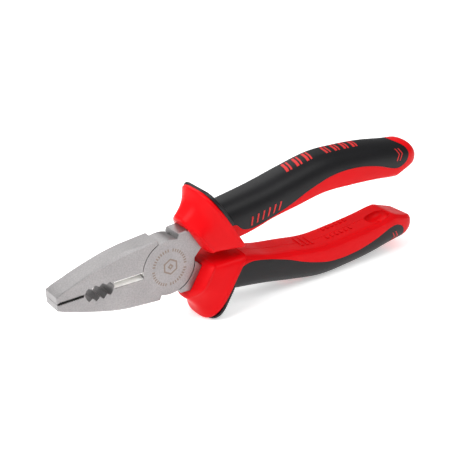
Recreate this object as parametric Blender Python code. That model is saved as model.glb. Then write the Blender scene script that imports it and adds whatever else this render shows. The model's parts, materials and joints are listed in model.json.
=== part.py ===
"""Lineman pliers: two riveted steel levers with two-component moulded grips.

Tool coordinates, used for every outline: a runs along the tool from the jaw tip (negative) to the
handle end (positive), b runs across it towards the upper handle, and w is the thickness direction.
A mesh point is (a, -w, b).  The pivot is the origin of every object, and the whole tool is pitched a
little so that it stands on one guard and one handle.  Lengths are in metres.
"""

import math

import bmesh
import bpy
import numpy as np
from mathutils import Matrix

# Driving sizes
OVERALL_LENGTH = 0.180
JAW_SHARE = 0.2696
HEAD_THICKNESS = 0.00917
BOSS_RADIUS = 0.01182
JAW_KNEE_OFFSET = 0.01213
TIP_OFFSET = 0.00255
HANDLE_OFFSET = 0.02864
GRIP_WIDTH = 0.01855
GUARD_WIDTH = 0.02528
SLEEVE_WALL = 0.00163
LIP_RISE = 0.0010
RIVET_RADIUS = 0.00347
COARSE_TEETH = 4
FINE_TEETH = 12

# Clearances
LAP_GAP = 0.0003
BORE_CLEARANCE = 0.00009
BOSS_CLEARANCE = 0.0003
JAW_GAP = 0.0003
MOULD_GAP = 0.0003
FOOT_FLAT = 0.0003
STOP_MARGIN = math.radians(0.6)

# Derived sizes
JAW_LENGTH = OVERALL_LENGTH * JAW_SHARE
REACH = OVERALL_LENGTH - JAW_LENGTH
HALF_HEAD = HEAD_THICKNESS / 2
TANG_STEP = HALF_HEAD * 0.1
SHOULDER_RADIUS = BOSS_RADIUS * 1.18
JAW_REAR_ANGLE = math.radians(110.6)
SHANK_ANGLE = math.radians(70.0)
OPENING_ANGLE = JAW_REAR_ANGLE - SHANK_ANGLE - STOP_MARGIN
GUARD_LEAN = math.radians(32.0)
GUARD_SCALE = HANDLE_OFFSET / 0.02864

# Share of the jaw length, share of the knee offset: outer side of a jaw from tip to rear
JAW_SIDE = (
    (-1.000, 0.021),
    (-0.945, 0.154),
    (-0.870, 0.287),
    (-0.807, 0.410),
    (-0.650, 0.670),
    (-0.512, 0.883),
    (-0.405, 1.000),
    (-0.330, 1.030),
    (-0.245, 1.045),
)

# Guard sections across its lean: distance from the pivot, inner end, outer end,
# half width of the flank and half width of the ear as shares of half the guard width
GUARD = (
    (0.01488, -0.0041, 0.0090, 0.460, 0.460),
    (0.01519, -0.0053, 0.0098, 0.640, 0.480),
    (0.01570, -0.0061, 0.0104, 0.770, 0.500),
    (0.01753, -0.0069, 0.0109, 0.830, 0.550),
    (0.02039, -0.0086, 0.0117, 0.880, 0.630),
    (0.02304, -0.0102, 0.0129, 0.925, 0.740),
    (0.02497, -0.0114, 0.0143, 0.955, 0.850),
    (0.02630, -0.0122, 0.0154, 0.985, 0.940),
    (0.02691, -0.0126, 0.0158, 1.000, 0.985),
    (0.02834, -0.0135, 0.0156, 1.000, 1.000),
)
GUARD_BACK = GUARD[-1][0]
GRIP_START = GUARD_BACK / REACH
LIP_THICKNESS = SLEEVE_WALL * 0.85

# Share of the reach, then inner face and outer side as shares of the handle offset,
# then half width as a share of half the grip width, and how far the outer side leans forward
HANDLE = (
    (GRIP_START, 0.150, 0.660, 0.900, 0.0734),
    (GRIP_START + 0.041, 0.167, 0.690, 0.920, 0.0575),
    (0.310, 0.214, 0.735, 0.945, 0.0390),
    (0.364, 0.281, 0.785, 0.965, 0.0236),
    (0.465, 0.360, 0.900, 0.990, 0.0062),
    (0.581, 0.441, 1.000, 1.000, 0.0),
    (0.698, 0.424, 0.990, 1.000, 0.0),
    (0.814, 0.381, 0.940, 1.000, 0.0),
    (0.888, 0.338, 0.880, 0.990, -0.0030),
    (0.9055, 0.333, 0.866, 0.980, -0.0060),
    (0.9264, 0.363, 0.852, 0.960, -0.0090),
    (0.9496, 0.398, 0.836, 0.930, -0.0078),
    (0.9690, 0.426, 0.805, 0.875, -0.0039),
    (0.9830, 0.447, 0.760, 0.790, -0.0025),
    (0.9930, 0.475, 0.705, 0.670, -0.0012),
    (0.9990, 0.515, 0.650, 0.500, 0.0),
)

# Edge between hard core and soft sleeve along the flank: share of reach, share of handle offset
SLEEVE_EDGE = (
    (0.219, 0.262),
    (0.283, 0.262),
    (0.349, 0.320),
    (0.388, 0.374),
    (0.434, 0.445),
    (0.4885, 0.552),
    (0.543, 0.637),
    (0.597, 0.701),
    (0.659, 0.722),
    (0.718, 0.705),
    (0.7595, 0.672),
    (0.811, 0.612),
    (0.852, 0.543),
    (0.879, 0.502),
    (0.902, 0.492),
    (0.922, 0.515),
    (0.938, 0.562),
    (0.9465, 0.637),
    (0.948, 0.700),
    (0.938, 0.785),
    (0.917, 0.850),
    (0.893, 0.905),
)

# Steel bar inside the grip: share of reach, lower side, upper side (shares of the handle offset),
# half thickness as a share of half the head
TANG = (
    (0.077, 0.018, 0.466, 1.00),
    (0.0985, 0.065, 0.474, 1.00),
    (0.125, 0.178, 0.505, 0.98),
    (0.164, 0.222, 0.535, 0.90),
    (0.236, 0.290, 0.562, 0.80),
    (0.349, 0.395, 0.650, 0.74),
    (0.465, 0.510, 0.750, 0.72),
    (0.581, 0.615, 0.830, 0.70),
    (0.698, 0.615, 0.820, 0.68),
    (0.814, 0.560, 0.755, 0.66),
    (0.868, 0.540, 0.720, 0.64),
)


def smooth(at, rows, column):
    """Hermite curve through one column of a table whose first column is the place."""
    places = np.array([row[0] for row in rows])
    values = np.array([row[column] for row in rows])
    slopes = np.gradient(values, places)
    k = int(np.clip(np.searchsorted(places, at) - 1, 0, len(places) - 2))
    span = places[k + 1] - places[k]
    t = (at - places[k]) / span
    start = values[k] * (2 * t**3 - 3 * t**2 + 1) + slopes[k] * span * (t**3 - 2 * t**2 + t)
    end = values[k + 1] * (3 * t**2 - 2 * t**3) + slopes[k + 1] * span * (t**3 - t**2)
    return float(start + end)


def point(a, b, w):
    """Mesh point of tool coordinates."""
    return (a, -w, b)


def mesh_object(name, verts, faces, collection):
    """Object from points and faces, with its normals turned outwards."""
    mesh = bpy.data.meshes.new(name)
    mesh.from_pydata(verts, [], faces)
    work = bmesh.new()
    work.from_mesh(mesh)
    bmesh.ops.recalc_face_normals(work, faces=work.faces)
    work.to_mesh(mesh)
    work.free()
    obj = bpy.data.objects.new(name, mesh)
    collection.objects.link(obj)
    return obj


def loft(name, rings, collection):
    """Closed body through rings that all have the same number of points."""
    count = len(rings[0])
    verts = [vert for ring in rings for vert in ring]
    faces = [tuple(range(count))]
    faces.append(tuple(range(len(verts) - count, len(verts))))
    for k in range(len(rings) - 1):
        for j in range(count):
            one = k * count + j
            two = k * count + (j + 1) % count
            faces.append((one, two, two + count, one + count))
    return mesh_object(name, verts, faces, collection)


def put(obj, collection):
    """Moves an object made by an operator into a collection."""
    for old in list(obj.users_collection):
        old.objects.unlink(obj)
    collection.objects.link(obj)
    return obj


def prism(name, outline, w_from, w_to, collection):
    """Flat outline in a and b given a thickness along w, from a filled curve."""
    curve = bpy.data.curves.new(name + "_outline", "CURVE")
    curve.dimensions = "2D"
    curve.fill_mode = "BOTH"
    curve.extrude = (w_to - w_from) / 2
    line = curve.splines.new("POLY")
    line.points.add(len(outline) - 1)
    for spot, (a, b) in zip(line.points, outline):
        spot.co = (a, b, 0.0, 1.0)
    line.use_cyclic_u = True
    flat = bpy.data.objects.new(name + "_outline", curve)
    bpy.context.scene.collection.objects.link(flat)
    bpy.context.view_layer.update()
    graph = bpy.context.evaluated_depsgraph_get()
    mesh = bpy.data.meshes.new_from_object(flat.evaluated_get(graph))
    bpy.data.objects.remove(flat, do_unlink=True)
    mesh.transform(Matrix.Rotation(math.pi / 2, 4, "X"))
    mesh.transform(Matrix.Translation((0.0, -(w_from + w_to) / 2, 0.0)))
    work = bmesh.new()
    work.from_mesh(mesh)
    bmesh.ops.remove_doubles(work, verts=work.verts, dist=0.000002)
    bmesh.ops.dissolve_limit(work, angle_limit=0.0005, verts=work.verts, edges=work.edges)
    bmesh.ops.recalc_face_normals(work, faces=work.faces)
    work.to_mesh(mesh)
    work.free()
    mesh.name = name
    obj = bpy.data.objects.new(name, mesh)
    collection.objects.link(obj)
    return obj


def cylinder(name, radius, w_from, w_to, collection, sides=72):
    """Round bar on the pivot axis."""
    bpy.ops.mesh.primitive_cylinder_add(vertices=sides, radius=radius, depth=w_to - w_from)
    bar = bpy.context.object
    bar.name = name
    bar.data.transform(Matrix.Rotation(math.pi / 2, 4, "X"))
    bar.data.transform(Matrix.Translation((0.0, -(w_from + w_to) / 2, 0.0)))
    return put(bar, collection)


def combine(target, other, operation):
    """Exact Boolean of the target with another object."""
    boolean = target.modifiers.new(operation.title(), "BOOLEAN")
    boolean.operation = operation
    boolean.solver = "EXACT"
    boolean.object = other


def hide(obj):
    """Marks an object as construction geometry."""
    obj.hide_render = True
    obj.display_type = "WIRE"


# Outlines of the steel


def jaw_edge(a, side):
    """Height of the gripping and cutting edge above the closing line, before the gap is taken off."""
    share = -a / JAW_LENGTH
    if 0.510 < share < 0.765:
        t = (share - 0.510) / 0.255
        bowl = 0.285 * JAW_KNEE_OFFSET * math.sin(math.pi * t) ** 0.25
        tooth = abs((t * COARSE_TEETH) % 1.0 - 0.5) * 2
        return -side * bowl * (1.0 - 0.40 * tooth)
    if 0.768 < share < 0.985:
        t = (share - 0.768) / 0.217 * FINE_TEETH
        return (abs(t % 1.0 - 0.5) - 0.25) * JAW_LENGTH * 0.014
    return 0.0


def jaw_places():
    """Stations along the closing line, tip to rear, with one at every tooth corner."""
    fine = [0.985 - 0.217 * k / (2 * FINE_TEETH) for k in range(2 * FINE_TEETH + 1)]
    coarse = [0.765 - 0.255 * k / (4 * COARSE_TEETH) for k in range(4 * COARSE_TEETH + 1)]
    return [-JAW_LENGTH * share for share in [1.0] + fine + coarse]


def arc(start, end, steps=22):
    """Points on the edge of the boss between two angles."""
    turns = [math.radians(start + (end - start) * k / steps) for k in range(steps + 1)]
    return [(BOSS_RADIUS * math.cos(t), BOSS_RADIUS * math.sin(t)) for t in turns]


def head_outline(side):
    """Jaw, boss and shank seen along the pivot; side +1 is for the lower jaw, -1 for the upper."""
    grip = []
    for a in jaw_places():
        height = jaw_edge(a, 1)
        if abs(a) > 0.7665 * JAW_LENGTH:
            height *= side
        grip.append((a, height - JAW_GAP / 2))
    knee = JAW_KNEE_OFFSET - TIP_OFFSET
    outer = [(JAW_LENGTH * x, -TIP_OFFSET - knee * y) for x, y in JAW_SIDE]
    rear = JAW_REAR_ANGLE
    corner = (SHOULDER_RADIUS * math.cos(rear), -SHOULDER_RADIUS * math.sin(rear))
    meet = (-math.sqrt(BOSS_RADIUS**2 - JAW_GAP**2 / 4), -JAW_GAP / 2)
    over = arc(179.0, math.degrees(SHANK_ANGLE))
    angle = SHANK_ANGLE
    shoulder = (SHOULDER_RADIUS * math.cos(angle), SHOULDER_RADIUS * math.sin(angle))
    upper = []
    lower = []
    for share in (0.1026, 0.113, 0.125):
        upper.append((REACH * share, smooth(share, TANG, 2) * HANDLE_OFFSET))
        lower.append((REACH * share, smooth(share, TANG, 1) * HANDLE_OFFSET))
    under = arc(3.0, -math.degrees(rear), 24)
    return grip + [meet] + over + [shoulder] + upper + lower[::-1] + under + [corner] + outer[::-1]


def tang_ring(share, grow):
    """Rectangle across the steel bar, chamfered, or across its hollow, with sharp corners."""
    inset = TANG_STEP if grow == 0 else -grow
    low = smooth(share, TANG, 1) * HANDLE_OFFSET + inset
    high = smooth(share, TANG, 2) * HANDLE_OFFSET - inset
    half = smooth(share, TANG, 3) * HALF_HEAD - inset
    cut = HALF_HEAD * (0.16 if grow == 0 else 0.02)
    corners = (
        (low, half - cut),
        (low + cut, half),
        (high - cut, half),
        (high, half - cut),
        (high, cut - half),
        (high - cut, -half),
        (low + cut, -half),
        (low, cut - half),
    )
    return [point(share * REACH, b, w) for b, w in corners]


def tang(name, grow, collection):
    """Steel bar, or with grow the hollow it sits in."""
    first = 0.1026 if grow == 0 else 0.0123
    last = TANG[-1][0]
    shares = [first + (last - first) * k / 22 for k in range(23)]
    rings = [tang_ring(max(share, TANG[0][0]), grow) for share in shares]
    for share, ring in zip(shares, rings):
        ring[:] = [(share * REACH, y, z) for _, y, z in ring]
    if grow > 0:
        rings[-1] = [(x + grow, y, z) for x, y, z in rings[-1]]
    return loft(name, rings, collection)


# Outlines of the grips


def grip_ring(share, inset, steps=8):
    """Section of a grip: flat inner face, chamfered edges and a rounded outer side."""
    low = smooth(share, HANDLE, 1) * HANDLE_OFFSET + inset
    high = smooth(share, HANDLE, 2) * HANDLE_OFFSET - inset
    half = smooth(share, HANDLE, 3) * GRIP_WIDTH / 2 - inset
    lean = smooth(share, HANDLE, 4) * REACH
    middle = low + (high - low) * 0.42
    face = half * 0.82
    chamfer = half * 0.16
    side = [(low, 0.0), (low, face * 0.55), (low, face * 0.9), (low + chamfer * 0.12, face)]
    side += [(low + chamfer, half * 0.955), (low + (middle - low) * 0.6, half * 0.99)]
    for k in range(steps + 1):
        turn = math.pi / 2 * (1 - k / steps)
        across = half * math.sin(turn) ** 0.85
        side.append((middle + (high - middle) * math.cos(turn) ** 0.85, across))
    ring = side + [(b, -w) for b, w in side[-2:0:-1]]
    return [point(share * REACH - lean * (b - low) / (high - low), b, w) for b, w in ring]


def skin(name, collection):
    """Whole grip body, from inside the guard to the rounded end."""
    first = HANDLE[0][0]
    bend = HANDLE[8][0]
    body = [first + (bend - first) * k / 22 for k in range(22)]
    end = [row[0] for row in HANDLE[8:]]
    return loft(name, [grip_ring(share, 0.0) for share in body + end], collection)


def neck(name, inset, last, collection):
    """Grip body taken in by the wall of the sleeve."""
    first = HANDLE[0][0]
    shares = [first + (last - first) * k / 20 for k in range(21)]
    return loft(name, [grip_ring(share, inset, 4) for share in shares], collection)


def guard_point(along, across, w):
    """Point of the leaning guard frame."""
    a = along * math.cos(GUARD_LEAN) - across * math.sin(GUARD_LEAN)
    b = along * math.sin(GUARD_LEAN) + across * math.cos(GUARD_LEAN)
    return point(a, b, w)


def guard_ring(along, low, high, flank, ear, inset=0.0):
    """Section of the guard: nearly flat below, round at the top."""
    low = low * GUARD_SCALE + inset
    high = high * GUARD_SCALE - inset
    flank = flank * GUARD_WIDTH / 2 - inset
    ear = ear * GUARD_WIDTH / 2 - inset
    middle = low + (high - low) * 0.45
    ring = []
    for k in range(36):
        turn = 2 * math.pi * k / 36
        c = math.cos(turn)
        s = math.sin(turn)
        power = 2 / 2.9 if c > 0 else 2 / 6.0
        reach = high - middle if c > 0 else middle - low
        across = middle + reach * math.copysign(abs(c) ** power, c)
        rise = min(max(c, 0.0) / 0.85, 1.0)
        half = flank + (ear - flank) * rise * rise * (3 - 2 * rise)
        ring.append(guard_point(along, across, half * math.copysign(abs(s) ** power, s)))
    return ring


def sleeve_zone(grow, front):
    """Outline in a and b of what the soft sleeve covers, from the guard to the end rim."""
    top = HANDLE_OFFSET * 1.6
    edge = [(REACH * a, HANDLE_OFFSET * b) for a, b in SLEEVE_EDGE]
    a, b = np.array(edge).T
    run = np.gradient(a)
    rise = np.gradient(b)
    size = np.hypot(run, rise)
    moved = [
        (float(x), float(y))
        for x, y in zip(a + grow * rise / size, b - grow * run / size)
    ]
    lean = math.tan(GUARD_LEAN)
    start = (front / math.cos(GUARD_LEAN) - moved[0][1] * lean, moved[0][1])
    above = (front / math.cos(GUARD_LEAN) - top * lean, top)
    return [above, start] + moved[1:] + [(moved[-1][0], top)]


# Building


def build_lever(name, side, collection, tools):
    """Jaw, half-thickness boss, shank and tang of one lever, made for the lower jaw."""
    lever = prism(name, head_outline(side), -HALF_HEAD, HALF_HEAD, collection)
    combine(lever, tang(name + "_tang", 0.0, tools), "UNION")
    room = BOSS_RADIUS + BOSS_CLEARANCE
    lap = cylinder(name + "_lap", room, -HEAD_THICKNESS, LAP_GAP / 2, tools)
    combine(lever, lap, "DIFFERENCE")
    for turn in (1, -1):
        depth = JAW_LENGTH * 0.0275
        section = (
            (-0.0002, 0.0),
            (depth * 1.3, HALF_HEAD * 1.3),
            (-depth * 2.0, HALF_HEAD * 1.3),
            (-depth * 2.0, 0.0),
        )
        rings = []
        for a in (-0.2415 * JAW_LENGTH, -0.508 * JAW_LENGTH):
            rings.append([point(a, -JAW_GAP / 2 - down, turn * w) for down, w in section])
        relief = loft(name + "_cutter_relief", rings, tools)
        combine(lever, relief, "DIFFERENCE")
    hole = cylinder(name + "_bore", RIVET_RADIUS + BORE_CLEARANCE, -HEAD_THICKNESS, HEAD_THICKNESS, tools)
    combine(lever, hole, "DIFFERENCE")
    return lever


def build_core(name, collection, tools, foot):
    """Hard grip core: guard, inner face, end rim and the neck under the sleeve."""
    core = skin(name, collection)
    zone = sleeve_zone(0.0, GUARD_BACK - LIP_THICKNESS * 0.4)
    cover = prism(name + "_cover", zone, -GUARD_WIDTH, GUARD_WIDTH, tools)
    combine(core, cover, "DIFFERENCE")
    inner = neck(name + "_neck", SLEEVE_WALL + MOULD_GAP, 0.956, tools)
    combine(core, inner, "UNION")
    guard = loft(name + "_guard", [guard_ring(*row) for row in GUARD], tools)
    combine(core, guard, "UNION")
    hollow = tang(name + "_hollow", MOULD_GAP, tools)
    combine(core, hollow, "DIFFERENCE")
    scoop = scoop_tool(name + "_scoop", tools)
    combine(core, scoop, "DIFFERENCE")
    combine(core, foot, "DIFFERENCE")
    return core


def build_sleeve(name, collection, tools, foot):
    """Soft sleeve on the outer side of the grip, with a lip up the back of the guard."""
    sleeve = skin(name, collection)
    zone = sleeve_zone(-MOULD_GAP, GUARD_BACK + MOULD_GAP + LIP_THICKNESS * 0.4)
    cover = prism(name + "_cover", zone, -GUARD_WIDTH, GUARD_WIDTH, tools)
    combine(sleeve, cover, "INTERSECT")
    start = GUARD_BACK + MOULD_GAP
    last = GUARD[-1]
    bottom = SLEEVE_EDGE[0][1] * HANDLE_OFFSET + LIP_RISE
    low = (bottom - start * math.sin(GUARD_LEAN)) / math.cos(GUARD_LEAN) / GUARD_SCALE
    rings = []
    for along, inset in ((start, 0.0004), (start + LIP_THICKNESS, 0.0008)):
        rings.append(guard_ring(along, low, last[2], last[3], last[4], inset))
    lip = loft(name + "_lip", rings, tools)
    combine(sleeve, lip, "UNION")
    inside = neck(name + "_inside", SLEEVE_WALL, 0.966, tools)
    combine(sleeve, inside, "DIFFERENCE")
    combine(sleeve, foot, "DIFFERENCE")
    return sleeve


def scoop_tool(name, tools):
    """Shallow round dish near the end of the inner face."""
    share = 0.832
    centre = smooth(share, HANDLE, 1) * HANDLE_OFFSET
    bpy.ops.mesh.primitive_uv_sphere_add(segments=28, ring_count=14, radius=1.0)
    dish = bpy.context.object
    dish.name = name
    for vert in dish.data.vertices:
        x, y, z = vert.co
        vert.co = (REACH * (share + 0.055 * x), GRIP_WIDTH * 0.27 * y, centre + 0.0016 * z)
    return put(dish, tools)


def resting_line():
    """Pitch and drop of the floor that touches both the guard and the belly of a handle."""
    guard = np.array([(x, z) for row in GUARD for x, _, z in guard_ring(*row)])
    shares = [0.4 + 0.45 * k / 60 for k in range(61)]
    belly = np.array([(x, z) for share in shares for x, _, z in grip_ring(share, 0.0)])
    low = -0.2
    high = 0.2
    for _ in range(40):
        pitch = (low + high) / 2
        down = np.array([math.sin(pitch), math.cos(pitch)])
        if (guard @ down).max() > (belly @ down).max():
            low = pitch
        else:
            high = pitch
    return pitch, float((guard @ down).max()) - FOOT_FLAT


def centre_shift(pitch):
    """Shift along the floor that brings the middle of the pitched tool over the origin."""
    skin_points = [grip_ring(row[0], 0.0) for row in HANDLE[-8:]]
    places = [(x, z * sign) for ring in skin_points for x, _, z in ring for sign in (1, -1)]
    places += [(a, b * sign) for a, b in head_outline(1) for sign in (1, -1)]
    along = [x * math.cos(pitch) + z * math.sin(pitch) for x, z in places]
    return -(max(along) + min(along)) / 2


def material(name, colour, metallic, roughness):
    """Principled material of one piece."""
    made = bpy.data.materials.new(name)
    made.use_nodes = True
    shader = made.node_tree.nodes["Principled BSDF"]
    shader.inputs["Base Color"].default_value = (*colour, 1.0)
    shader.inputs["Metallic"].default_value = metallic
    shader.inputs["Roughness"].default_value = roughness
    made.diffuse_color = (*colour, 1.0)
    return made


def finish(obj, look, turned, pitch, height, x_shift):
    """Material, shading and place of one piece; turned pieces are rolled half a turn over."""
    if turned:
        for vert in obj.data.vertices:
            vert.co = (vert.co.x, -vert.co.y, -vert.co.z)
        for step in obj.modifiers:
            tool = step.object
            if tool is not None and not tool.get("turned"):
                tool["turned"] = True
                for vert in tool.data.vertices:
                    vert.co = (vert.co.x, -vert.co.y, -vert.co.z)
    obj.data.materials.append(look)
    obj.data.shade_smooth()
    obj.data.set_sharp_from_angle(angle=math.radians(32))
    tools = [step.object for step in obj.modifiers if step.object is not None]
    for piece in [obj] + tools:
        piece.location = (x_shift, 0.0, height)
        piece.rotation_euler = (0.0, pitch, 0.0)


def main():
    for old in list(bpy.data.objects):
        bpy.data.objects.remove(old, do_unlink=True)
    scene = bpy.context.scene.collection
    pieces = bpy.data.collections.new("lineman_pliers")
    tools = bpy.data.collections.new("construction")
    scene.children.link(pieces)
    scene.children.link(tools)

    pitch, drop = resting_line()
    x_shift = centre_shift(pitch)
    steel = (0.52, 0.51, 0.50)
    red = (0.75, 0.015, 0.02)
    black = (0.02, 0.02, 0.022)
    made = []
    for where, turned in (("upper", False), ("lower", True)):
        slope = math.tan(pitch)
        line = drop / math.cos(pitch)
        far = 0.2
        under = [(-far, line + far * slope), (far, line - far * slope), (far, far), (-far, far)]
        foot = prism(where + "_foot", under, -far / 2, far / 2, tools)
        side = -1 if turned else 1
        lever = build_lever(where + "_handle_lever", side, pieces, tools)
        core = build_core(where + "_grip_core", pieces, tools, foot)
        sleeve = build_sleeve(where + "_grip_sleeve", pieces, tools, foot)
        made.append((lever, material(where + "_lever_steel", steel, 1.0, 0.38), turned))
        made.append((core, material(where + "_core_plastic", red, 0.0, 0.35), turned))
        made.append((sleeve, material(where + "_sleeve_rubber", black, 0.0, 0.55), turned))
    length = HEAD_THICKNESS / 2 - 0.00002
    rivet = cylinder("pivot_rivet", RIVET_RADIUS, -length, length, pieces, 64)
    made.append((rivet, material("rivet_steel", (0.48, 0.47, 0.46), 1.0, 0.35), False))
    for obj, look, turned in made:
        finish(obj, look, turned, pitch, drop, x_shift)
    for tool in tools.objects:
        hide(tool)


main()
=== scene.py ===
"""Lineman pliers on a pale floor: satin steel levers, red grip cores with guards and soft black sleeves.

Tool coordinates used by the outlines: a runs along the tool from the jaw tips (negative) to the
handle ends, b runs across it towards the upper handle and w is the thickness towards the viewer.
The pivot is their origin.  Lengths are in metres.
"""

import json
import math

import bmesh
import bpy
from bpy.props import FloatProperty, FloatVectorProperty, IntProperty, PointerProperty
from mathutils import Matrix, Vector

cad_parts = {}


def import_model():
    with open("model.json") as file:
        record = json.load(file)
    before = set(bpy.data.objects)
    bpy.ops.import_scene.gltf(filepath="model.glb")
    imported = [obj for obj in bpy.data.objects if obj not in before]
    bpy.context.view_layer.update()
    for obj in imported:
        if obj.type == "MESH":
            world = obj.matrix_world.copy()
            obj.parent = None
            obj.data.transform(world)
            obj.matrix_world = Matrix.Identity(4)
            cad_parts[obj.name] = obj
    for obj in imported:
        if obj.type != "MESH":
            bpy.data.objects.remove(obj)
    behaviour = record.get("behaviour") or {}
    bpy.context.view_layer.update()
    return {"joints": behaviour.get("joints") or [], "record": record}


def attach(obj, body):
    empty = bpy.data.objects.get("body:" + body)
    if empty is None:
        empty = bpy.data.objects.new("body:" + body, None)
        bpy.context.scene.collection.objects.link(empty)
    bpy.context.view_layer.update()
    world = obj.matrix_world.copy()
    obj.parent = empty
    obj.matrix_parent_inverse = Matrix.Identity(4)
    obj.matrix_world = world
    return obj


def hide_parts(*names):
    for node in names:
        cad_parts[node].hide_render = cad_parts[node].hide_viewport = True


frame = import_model()

bl_info = {
    "name": "Lineman Pliers",
    "version": (1, 0, 0),
    "blender": (4, 5, 0),
    "location": "View3D > Sidebar > Pliers",
    "description": "Builds a pair of lineman pliers with two-component grips",
    "category": "Object",
}

JOINT = frame["joints"][0]
PIVOT = Vector(JOINT["pos_m"])
MM = 0.001
GUARD_LEAN = math.radians(32.0)  # the guard's axis leans towards the handle
FLOOR_SPARE = 0.00005  # grips are flattened this far short of the floor
COARSE_FROM, COARSE_SPAN = 0.510, 0.255  # shares of the jaw length
FINE_FROM, FINE_SPAN = 0.768, 0.217
RELIEF = (-0.2415, -0.508)  # rear and front of the cutters' relief

# Share of the jaw length, share of the knee offset, width of the long side bevel
JAW_SIDE = (
    (-1.000, 0.021, 0.00022),
    (-0.945, 0.154, 0.00028),
    (-0.870, 0.287, 0.00034),
    (-0.807, 0.410, 0.00042),
    (-0.650, 0.670, 0.00066),
    (-0.512, 0.883, 0.00105),
    (-0.405, 1.000, 0.00135),
    (-0.330, 1.030, 0.00100),
    (-0.245, 1.045, 0.00055),
)

# Guard sections: distance along the leaning axis, inner end, outer end,
# half width shares of the flank and of the ear
GUARD = (
    (0.01488, -0.0044, 0.0090, 0.460, 0.460),
    (0.01519, -0.0057, 0.0098, 0.640, 0.480),
    (0.01570, -0.0066, 0.0104, 0.770, 0.500),
    (0.01753, -0.0078, 0.0109, 0.830, 0.550),
    (0.02039, -0.0099, 0.0117, 0.880, 0.630),
    (0.02304, -0.0119, 0.0129, 0.925, 0.740),
    (0.02497, -0.0133, 0.0143, 0.955, 0.850),
    (0.02630, -0.0143, 0.0154, 0.985, 0.940),
    (0.02691, -0.0148, 0.0158, 1.000, 0.985),
    (0.02834, -0.0158, 0.0156, 1.000, 1.000),
)

# Share of the reach; inner face and outer side as shares of the handle offset; half width share; lean
HANDLE = (
    (0.2156, 0.150, 0.660, 0.900, 0.0734),
    (0.2566, 0.167, 0.690, 0.920, 0.0575),
    (0.310, 0.214, 0.735, 0.945, 0.0390),
    (0.364, 0.281, 0.785, 0.965, 0.0236),
    (0.465, 0.360, 0.900, 0.990, 0.0062),
    (0.581, 0.441, 1.000, 1.000, 0.0),
    (0.698, 0.424, 0.990, 1.000, 0.0),
    (0.814, 0.381, 0.940, 1.000, 0.0),
    (0.888, 0.338, 0.880, 0.990, -0.0030),
    (0.9055, 0.333, 0.866, 0.980, -0.0060),
    (0.9264, 0.363, 0.852, 0.960, -0.0090),
    (0.9496, 0.398, 0.836, 0.930, -0.0078),
    (0.9690, 0.426, 0.805, 0.875, -0.0039),
    (0.9830, 0.447, 0.760, 0.790, -0.0025),
    (0.9930, 0.475, 0.705, 0.670, -0.0012),
    (0.9990, 0.515, 0.650, 0.500, 0.0),
)

# Line where the soft sleeve starts on the flank: share of the reach, share of the handle offset
SLEEVE_EDGE = (
    (0.206, 0.395),
    (0.228, 0.382),
    (0.250, 0.292),
    (0.290, 0.264),
    (0.349, 0.320),
    (0.388, 0.374),
    (0.434, 0.445),
    (0.4885, 0.552),
    (0.543, 0.637),
    (0.597, 0.701),
    (0.659, 0.722),
    (0.718, 0.705),
    (0.7595, 0.672),
    (0.811, 0.612),
    (0.852, 0.543),
    (0.879, 0.502),
    (0.902, 0.492),
    (0.922, 0.515),
    (0.938, 0.562),
    (0.9465, 0.637),
    (0.948, 0.700),
    (0.938, 0.785),
    (0.917, 0.850),
    (0.893, 0.905),
)

# Steel bar inside the grip: share of the reach, lower side, upper side, half thickness share
TANG = (
    (0.077, 0.018, 0.466, 1.00),
    (0.0985, 0.065, 0.474, 1.00),
    (0.125, 0.178, 0.505, 0.98),
    (0.164, 0.222, 0.535, 0.90),
    (0.236, 0.290, 0.562, 0.80),
    (0.349, 0.395, 0.650, 0.74),
    (0.465, 0.510, 0.750, 0.72),
    (0.581, 0.615, 0.830, 0.70),
    (0.698, 0.615, 0.820, 0.68),
    (0.814, 0.560, 0.755, 0.66),
    (0.868, 0.540, 0.720, 0.64),
)


class PliersSizes(bpy.types.PropertyGroup):
    """Sizes of the tool."""

    jaw_length: FloatProperty(
        name="Jaw Length", description="Pivot to jaw tip", default=0.048528, unit="LENGTH"
    )
    reach: FloatProperty(
        name="Reach", description="Pivot to handle end", default=0.131472, unit="LENGTH"
    )
    head: FloatProperty(
        name="Head Thickness", description="Thickness of the steel", default=0.00917, unit="LENGTH"
    )
    boss: FloatProperty(
        name="Boss Radius", description="Round of the lap joint", default=0.01182, unit="LENGTH"
    )
    knee: FloatProperty(
        name="Knee Offset", description="Jaw height at its knee", default=0.01213, unit="LENGTH"
    )
    tip: FloatProperty(
        name="Tip Offset", description="Jaw height at its tip", default=0.00255, unit="LENGTH"
    )
    spread: FloatProperty(
        name="Handle Offset", description="Centre line to belly", default=0.02864, unit="LENGTH"
    )
    grip: FloatProperty(
        name="Grip Width", description="Grip across the thickness", default=0.01855, unit="LENGTH"
    )
    guard: FloatProperty(
        name="Guard Width", description="Guard across the thickness", default=0.02528, unit="LENGTH"
    )
    wall: FloatProperty(
        name="Sleeve Wall", description="Thickness of the sleeve", default=0.00163, unit="LENGTH"
    )
    rivet: FloatProperty(
        name="Rivet Radius", description="Pin of the lap joint", default=0.00347, unit="LENGTH"
    )
    tilt: FloatProperty(
        name="Resting Tilt", description="Lean of the tool", default=-0.008869, unit="ROTATION"
    )
    coarse: IntProperty(name="Pipe Teeth", description="Coarse teeth on each jaw", default=4)
    fine: IntProperty(name="Tip Teeth", description="Fine teeth on each jaw", default=12)


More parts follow.
